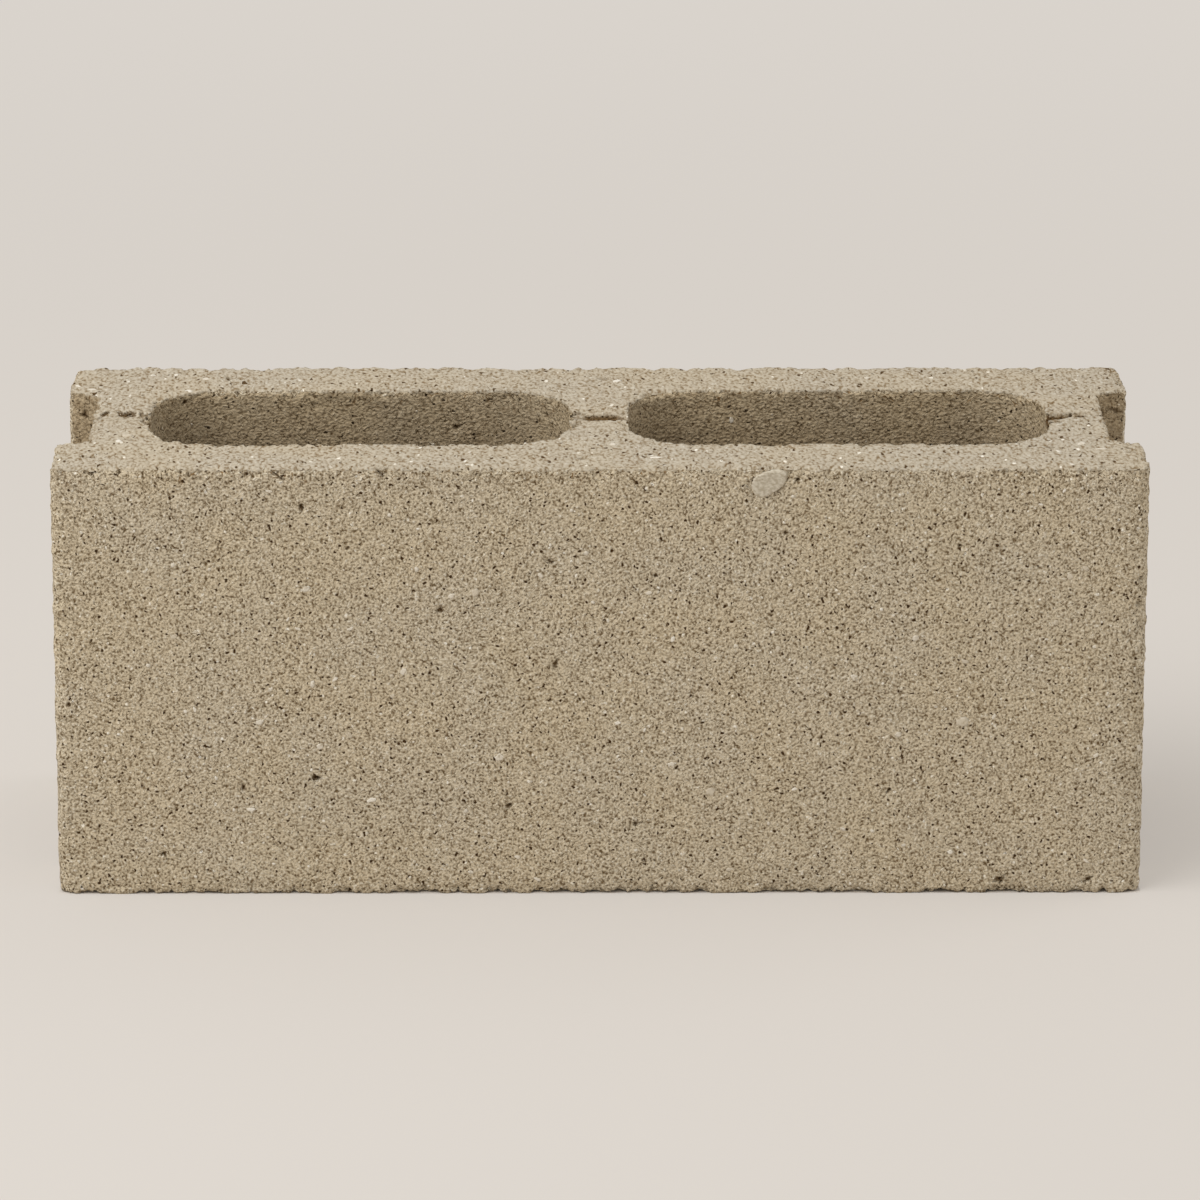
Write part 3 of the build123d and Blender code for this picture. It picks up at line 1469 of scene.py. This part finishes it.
@dataclass
class BareGrains:
    """The pale grains that lie bare in the faces, as one piece, with sizes in millimetres."""

    scattered: int = 600
    seed: int = 11
    least_length: float = 1.0
    more_length: float = 2.2
    width_share: Span = (0.45, 0.95)
    tones: tuple[Tone, ...] = (Tone.DULL, Tone.CREAM, Tone.CREAM, Tone.WHITE)
    thickness: float = 0.9
    proud: float = 0.16
    flat_from: float = 0.35
    unevenness: float = 0.3
    large_from: float = 2.5

    def build(
        self, block: bpy.types.Object, finish: bpy.types.Material, view: Viewpoint
    ) -> bpy.types.Object:
        """Build the grains and dress them.

        Args:
            block: The finished block, in whose surface they sit.
            finish: The grain material.
            view: Where the grains with a place are seen from.

        Returns:
            The piece.
        """
        surface = BlockSurface(block, view)
        chance = random.Random(self.seed)
        bm = bmesh.new()
        bm.verts.layers.float.new("tone")
        for grain in GRAINS:
            self.bed(bm, chance, grain, *surface.seen(grain.pixel))
        for point, normal in self.scatter(block):
            length = self.least_length + self.more_length * chance.random() ** 3
            width = length * chance.uniform(*self.width_share)
            tone = chance.choice(self.tones)
            grain = Grain(NO_PIXEL, length, width, chance.uniform(0, HALF_TURN), tone)
            self.bed(bm, chance, grain, point, normal)
        return dressed_piece(new_piece(bm, "bare_grains"), finish)

    def scatter(self, block: bpy.types.Object) -> list[tuple[Vector, Vector]]:
        """Choose random places all over the block.

        Args:
            block: The finished block.

        Returns:
            Places, each with its way out of the surface.
        """
        polygons = block.data.polygons
        areas = np.empty(len(polygons))
        polygons.foreach_get("area", areas)
        chance = np.random.default_rng(self.seed)
        chosen = chance.choice(len(polygons), self.scattered, replace=False, p=areas / areas.sum())
        return [(polygons[int(i)].center.copy(), polygons[int(i)].normal.copy()) for i in chosen]

    def bed(
        self, bm: bmesh.types.BMesh, chance: random.Random, grain: Grain, point: Vector, normal: Vector
    ) -> None:
        """Bed one grain in the surface, with its bare side worn flat.

        Args:
            bm: The mesh that takes the grain, with a layer for its tone.
            chance: The source of its unevenness.
            grain: Its size, turn and tone.
            point: Where it lies.
            normal: The way out of the surface there.
        """
        tone = bm.verts.layers.float["tone"]
        rounds = 2 if grain.length > self.large_from else 1
        made = bmesh.ops.create_icosphere(bm, subdivisions=rounds, radius=1.0)
        for vert in made["verts"]:
            vert.co *= 1 + chance.uniform(-self.unevenness, self.unevenness)
            vert.co.z = min(vert.co.z, self.flat_from)
            vert[tone] = grain.tone.value
        sunk = self.thickness * self.flat_from - self.proud
        size = (grain.length / 2, grain.width / 2, self.thickness)
        seat(bm, made["verts"], point, facing(normal, grain.turn), sunk, size)


@dataclass
class Pebble:
    """The smooth pebble that lies bare in the near face, just under its top edge.

    It is a teardrop, blunt at its lower end, with its bare side flush with the face.
    Its sizes are in millimetres.
    """

    pixel: Pixel = (769.5, 483.5)
    length: float = 18.8
    width: float = 11.4
    thickness: float = 9.0
    turn: float = 26.0
    taper: float = 0.25
    rounds: int = 5
    waviness: float = 0.1
    waves: float = 1.4
    seed: int = 6
    bare_depth: float = 0.1
    bare_swell: float = 0.06
    centre_depth: float = 2.4

    def build(self, finish: bpy.types.Material, packed: BlockSurface) -> bpy.types.Object:
        """Build the pebble and dress it.

        Args:
            finish: The pebble's material.
            packed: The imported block's surface, with which its bare side is level.

        Returns:
            The piece.
        """
        point, normal = packed.seen(self.pixel)
        bm = bmesh.new()
        bmesh.ops.create_icosphere(bm, subdivisions=self.rounds, radius=1.0)
        level = (self.centre_depth - self.bare_depth) / (self.thickness / 2)
        noise.seed_set(self.seed)
        for vert in bm.verts:
            vert.co.y *= 1 - self.taper * vert.co.x
            vert.co += self.waviness * noise.noise_vector(vert.co * self.waves)
            if vert.co.z > level:
                vert.co.z = level + self.bare_swell * (vert.co.z - level)
        size = (self.length / 2, self.width / 2, self.thickness / 2)
        seat(bm, bm.verts, point, facing(normal, self.turn), self.centre_depth, size)
        return dressed_piece(new_piece(bm, "pebble"), finish)


def seat(
    bm: bmesh.types.BMesh,
    verts: list[bmesh.types.BMVert],
    point: Vector,
    turn: Matrix,
    sunk: float,
    size: Triple,
) -> None:
    """Bring a stone from a ball of radius one to its size and place.

    Args:
        bm: The mesh that holds it.
        verts: The stone's vertices.
        point: Where it lies on the surface, in metres.
        turn: How it lies.
        sunk: How far its middle lies below the surface, in millimetres.
        size: Half its length, width and thickness, in millimetres.
    """
    place = Matrix.Translation(point) @ turn @ Matrix.Scale(MM, 4)
    place = place @ Matrix.Translation((0, 0, -sunk)) @ Matrix.Diagonal((*size, 1.0))
    bmesh.ops.transform(bm, matrix=place, verts=verts)


def new_piece(bm: bmesh.types.BMesh, name: str) -> bpy.types.Object:
    """Turn a finished bmesh into an object at the origin, and free the bmesh.

    Args:
        bm: The bmesh.
        name: The object's name.

    Returns:
        The object.
    """
    mesh = bpy.data.meshes.new(name)
    bm.to_mesh(mesh)
    bm.free()
    piece = bpy.data.objects.new(name, mesh)
    bpy.context.scene.collection.objects.link(piece)
    return piece


def dressed_piece(piece: bpy.types.Object, finish: bpy.types.Material) -> bpy.types.Object:
    """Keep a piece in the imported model's box, and give it its finish, body and material slot.

    Args:
        piece: The piece, in metres.
        finish: Its material.

    Returns:
        The same piece.
    """
    box = np.array(cad_box)
    write_points(piece.data, np.clip(points_of(piece.data), box[0], box[1]))
    piece.data.shade_smooth()
    piece.data.materials.clear()
    piece.data.materials.append(finish)
    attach(piece, BLOCK_BODY)
    return piece


def frame_top() -> float:
    """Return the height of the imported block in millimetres."""
    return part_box(BLOCK_NODE)[1].z / MM


def soft_step(share: float) -> float:
    """Return a share kept between 0 and 1, with soft ends."""
    share = min(max(share, 0.0), 1.0)
    return share * share * (3 - 2 * share)


def evaluated_mesh(obj: bpy.types.Object) -> bpy.types.Mesh:
    """Return a new mesh of the object with its modifiers applied."""
    view = bpy.context.evaluated_depsgraph_get()
    return bpy.data.meshes.new_from_object(obj.evaluated_get(view), depsgraph=view)


def settle(obj: bpy.types.Object) -> None:
    """Apply the modifiers of an object to its mesh.

    Args:
        obj: The object, which is changed.
    """
    mesh = evaluated_mesh(obj)
    obj.modifiers.clear()
    old = obj.data
    obj.data = mesh
    bpy.data.meshes.remove(old)
    mesh.name = obj.name


def rows_of(items: bpy.types.bpy_prop_collection, name: str) -> np.ndarray:
    """Read a vector from each item of a mesh.

    Args:
        items: The mesh's vertices or normals.
        name: The vector's name.

    Returns:
        Rows of x, y and z.
    """
    values = np.empty(len(items) * 3)
    items.foreach_get(name, values)
    return values.reshape(-1, 3)


def points_of(mesh: bpy.types.Mesh) -> np.ndarray:
    """Return a mesh's vertex places as rows of x, y and z."""
    return rows_of(mesh.vertices, "co")


def normals_of(mesh: bpy.types.Mesh) -> np.ndarray:
    """Return a mesh's vertex normals as rows of x, y and z."""
    return rows_of(mesh.vertex_normals, "vector")


def values_of(mesh: bpy.types.Mesh, name: str) -> np.ndarray:
    """Read a number that the mesh notes for each vertex.

    Args:
        mesh: The mesh.
        name: The number's name.

    Returns:
        One number for each vertex.
    """
    values = np.empty(len(mesh.vertices))
    mesh.attributes[name].data.foreach_get("value", values)
    return values


def note_values(mesh: bpy.types.Mesh, name: str, values: np.ndarray) -> None:
    """Note a number for each vertex, which a finish can read by its name."""
    attribute = mesh.attributes.new(name, "FLOAT", "POINT")
    attribute.data.foreach_set("value", values)


def write_points(mesh: bpy.types.Mesh, points: np.ndarray) -> None:
    """Put the vertices of a mesh in new places."""
    mesh.vertices.foreach_set("co", points.ravel())
    mesh.update()


@dataclass(frozen=True)
class Lamp:
    """A round soft lamp that looks at the block."""

    name: str
    place: Triple
    width: float
    watts: float
    aim: Triple = (0.0, 0.0, 0.1)

    def build(self) -> None:
        """Hang the lamp."""
        data = bpy.data.lights.new(self.name, "AREA")
        data.shape = "DISK"
        data.size = self.width
        data.energy = self.watts
        lamp = bpy.data.objects.new(self.name, data)
        lamp.location = self.place
        direction = Vector(self.aim) - lamp.location
        lamp.rotation_euler = direction.to_track_quat("-Z", "Y").to_euler()
        bpy.context.scene.collection.objects.link(lamp)


@dataclass(frozen=True)
class FloorFinish:
    """Pale paper that the block stands on, kept even towards the horizon.

    A glow that grows with the distance evens it out. The reach of the glow is in metres, from
    the block's middle.
    """

    paper: Colour = linear(218, 212, 205)
    glow_near: float = 0.45
    glow_far: float = 0.97
    glow_reach: Span = (0.25, 2.0)
    roughness: float = 1.0
    shine: float = 0.0

    def make(self) -> bpy.types.Material:
        """Make the material.

        Returns:
            The finished material, whose glow only the camera, mirrors and glass see.
        """
        f = Finish("floor_paper")
        f.feed(f.shader.inputs["Base Color"], self.paper)
        f.feed(f.shader.inputs["Roughness"], self.roughness)
        f.feed(f.shader.inputs["Specular IOR Level"], self.shine)
        glow = f.add("ShaderNodeEmission")
        f.feed(glow.inputs["Color"], self.paper)
        path = f.add("ShaderNodeLightPath").outputs
        seen = f.maths("MAXIMUM", path["Is Camera Ray"], path["Is Glossy Ray"])
        seen = f.maths("MAXIMUM", seen, path["Is Transmission Ray"])
        away = f.add("ShaderNodeVectorMath", operation="LENGTH")
        f.feed(away.inputs[0], f.here())
        share = f.ramp(away.outputs["Value"], self.glow_reach)
        share = f.maths("MULTIPLY_ADD", share, self.glow_far - self.glow_near, self.glow_near)
        share = f.product(share, f.maths("SUBTRACT", 1.0, self.underneath(f)))
        mix = f.add("ShaderNodeMixShader")
        wanted = (f.product(seen, share), f.shader.outputs["BSDF"], glow.outputs["Emission"])
        for socket, value in zip(mix.inputs, wanted):
            f.feed(socket, value)
        f.feed(f.nodes["Material Output"].inputs["Surface"], mix.outputs["Shader"])
        return f.material

    def underneath(self, f: Finish) -> Socket:
        """Find out where the block stands on the floor.

        Args:
            f: The material in the making.

        Returns:
            1 under the block, and 0 beside it and in its end grooves.
        """
        along, across, _ = f.apart(f.here())
        half_length, half_thickness, _ = cad_box[1]
        covered = f.product(
            f.maths("LESS_THAN", along, half_length), f.maths("LESS_THAN", across, half_thickness)
        )
        groove = f.product(
            f.maths("GREATER_THAN", along, GROOVE_START * MM),
            f.maths("LESS_THAN", across, GROOVE_HALF_WIDTH * MM),
        )
        return f.product(covered, f.maths("SUBTRACT", 1.0, groove))


@dataclass
class Studio:
    """The pale floor and the soft light."""

    floor_side: float = 60.0
    sky_strength: float = 0.57
    sky: Colour = (1.0, 0.97, 0.93)
    lamps: tuple[Lamp, ...] = (
        Lamp("key", (-1.4, -0.9, 2.35), 2.5, 50.3),
        Lamp("fill", (2.5, 0.9, 1.3), 2.0, 13.0),
    )

    def build(self) -> None:
        """Make the floor, the lamps and the sky."""
        bm = bmesh.new()
        bmesh.ops.create_grid(bm, x_segments=1, y_segments=1, size=self.floor_side / 2)
        floor = new_piece(bm, "floor")
        floor.data.materials.append(FloorFinish().make())
        for lamp in self.lamps:
            lamp.build()
        world = bpy.data.worlds.new("studio")
        world.use_nodes = True
        sky = world.node_tree.nodes["Background"]
        sky.inputs["Color"].default_value = (*self.sky, 1.0)
        sky.inputs["Strength"].default_value = self.sky_strength
        bpy.context.scene.world = world
        bpy.context.scene.view_settings.view_transform = "Standard"


def main() -> None:
    """Build the block and its setting, and report each piece."""
    logging.basicConfig(level=logging.INFO, format="%(message)s")
    view = Viewpoint()
    view.make_camera()
    Studio().build()
    packed = BlockSurface(bpy.data.objects[BLOCK_NODE], view)
    block = BlockSkin().build(ConcreteFinish().make(), packed)
    grains = BareGrains().build(block, GrainFinish().make(), view)
    pebble = Pebble().build(PebbleFinish().make(), packed)
    for piece in (block, grains, pebble):
        log.info("%s: %d faces", piece.name, len(piece.data.polygons))


if __name__ == "__main__":
    main()
